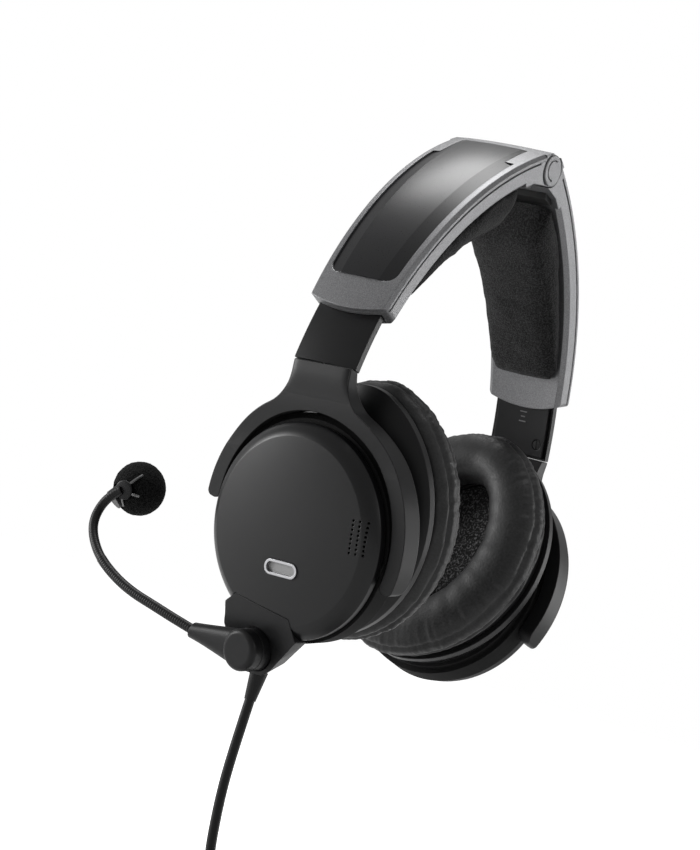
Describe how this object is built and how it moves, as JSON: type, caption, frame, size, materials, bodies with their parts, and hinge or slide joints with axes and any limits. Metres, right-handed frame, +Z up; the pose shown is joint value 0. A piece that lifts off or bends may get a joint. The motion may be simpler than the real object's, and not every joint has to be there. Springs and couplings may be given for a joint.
{
  "type": "aviation headset",
  "caption": "Aviation headset with a hinged band, sliding arms, pivoting ear cups, a swinging boom microphone and a coiled cord.",
  "frame": {"origin": "where the band's pads rest on the crown of the wearer's head, in the band's middle plane", "axes": "+Z up, the wearer faces -Y, and the wearer's left, with the microphone, is +X"},
  "size_m": [0.1737, 0.1775, 0.3356],
  "materials": {
    "arm_black": "satin",
    "baffle_black": "matte",
    "bezel_gray": "satin",
    "board_green": "solder mask",
    "boom_black": "satin",
    "capsule_metal": "satin",
    "contact_gold": "polished",
    "cord_rubber": "satin",
    "cover_black": "satin",
    "cup_black": "fine texture",
    "cushion_leather": "soft, gathered",
    "driver_dark": "matte",
    "foam_black": "open foam",
    "fork_black": "satin",
    "frame_gray": "fine metallic texture",
    "gooseneck_black": "satin",
    "guard_dark": "satin",
    "liner_black": "satin",
    "mesh_dark": "woven",
    "pad_fabric": "soft nap",
    "panel_black": "satin",
    "pin_steel": "satin",
    "plug_metal": "satin",
    "ring_black": "matte",
    "screw_black": "dark oxide",
    "scrim_fabric": "speckled knit",
    "shell_gray": "fine metallic texture",
    "tie_fabric": "hook and loop"
  },
  "bodies": {
    "band_left": {"band_frame_left": "frame_gray", "band_shell_left": "shell_gray", "band_panel_left": "panel_black", "hinge_guard_left": "guard_dark", "band_pad_left": "pad_fabric", "hinge_pin": "pin_steel", "hinge_caps": "shell_gray"},
    "band_right": {"band_frame_right": "frame_gray", "band_shell_right": "shell_gray", "band_panel_right": "panel_black", "hinge_guard_right": "guard_dark", "band_pad_right": "pad_fabric"},
    "arm_left": {"arm_left": "arm_black", "arm_liner_left": "liner_black", "arm_screw_left": "screw_black"},
    "fork_left": {"fork_left": "fork_black", "pivot_pins_left": "pin_steel"},
    "cup_left": {"cup_housing_left": "cup_black", "cup_cover_left": "cover_black", "port_bezel_left": "bezel_gray", "port_mesh_left": "mesh_dark", "baffle_left": "baffle_black", "driver_left": "driver_dark", "noise_board_left": "board_green", "cushion_ring_left": "ring_black", "ear_cushion_left": "cushion_leather", "ear_liner_left": "scrim_fabric", "boom_block": "cup_black", "cord_relief": "cord_rubber", "cord_run": "cord_rubber", "cord_coil": "cord_rubber", "cord_tie": "tie_fabric", "cord_tail": "cord_rubber", "plug_relief": "cord_rubber", "plug_body": "plug_metal", "plug_contacts": "contact_gold"},
    "arm_right": {"arm_right": "arm_black", "arm_liner_right": "liner_black", "arm_screw_right": "screw_black"},
    "fork_right": {"fork_right": "fork_black", "pivot_pins_right": "pin_steel"},
    "cup_right": {"cup_housing_right": "cup_black", "cup_cover_right": "cover_black", "port_bezel_right": "bezel_gray", "port_mesh_right": "mesh_dark", "baffle_right": "baffle_black", "driver_right": "driver_dark", "noise_board_right": "board_green", "cushion_ring_right": "ring_black", "ear_cushion_right": "cushion_leather", "ear_liner_right": "scrim_fabric"},
    "boom": {"boom_barrel": "boom_black", "boom_lever": "boom_black", "gooseneck": "gooseneck_black", "mic_clamp": "boom_black", "mic_capsule": "capsule_metal", "windscreen": "foam_black"}
  },
  "joints": [
    {"name": "band_fold", "type": "hinge", "parent": "band_left", "child": "band_right", "pos_m": [0, 0, 0.02], "axis": [0, 1, 0], "range_deg": [0, 40], "stiffness_Nm_per_rad": 1.5, "springref_deg": -8.02},
    {"name": "slider_left", "type": "hinge", "parent": "band_left", "child": "arm_left", "pos_m": [-0.06904, 0, -0.11476], "axis": [0, 1, 0], "range_deg": [-6.5, 4.3]},
    {"name": "slider_right", "type": "hinge", "parent": "band_right", "child": "arm_right", "pos_m": [0.06904, 0, -0.11476], "axis": [0, -1, 0], "range_deg": [-6.5, 4.3]},
    {"name": "swivel_left", "type": "hinge", "parent": "arm_left", "child": "fork_left", "pos_m": [0.08345, 0, -0.08815], "axis": [-0.1719, 0, 0.9851], "range_deg": [-5.2, 18.8]},
    {"name": "swivel_right", "type": "hinge", "parent": "arm_right", "child": "fork_right", "pos_m": [-0.08345, 0, -0.08815], "axis": [-0.1719, 0, -0.9851], "range_deg": [-17, 7]},
    {"name": "cup_pitch_left", "type": "hinge", "parent": "fork_left", "child": "cup_left", "pos_m": [0.06697, 0.00316, -0.14802], "axis": [0.0656, 0.9777, -0.1997], "range_deg": [-14, 6]},
    {"name": "cup_pitch_right", "type": "hinge", "parent": "fork_right", "child": "cup_right", "pos_m": [-0.06689, -0.00233, -0.14804], "axis": [-0.132, -0.9632, 0.2342], "range_deg": [-14, 6]},
    {"name": "boom_turn", "type": "hinge", "parent": "cup_left", "child": "boom", "pos_m": [0.06966, -0.00564, -0.20056], "axis": [0.9699, -0.1095, -0.2176], "range_deg": [-30, 80]}
  ]
}
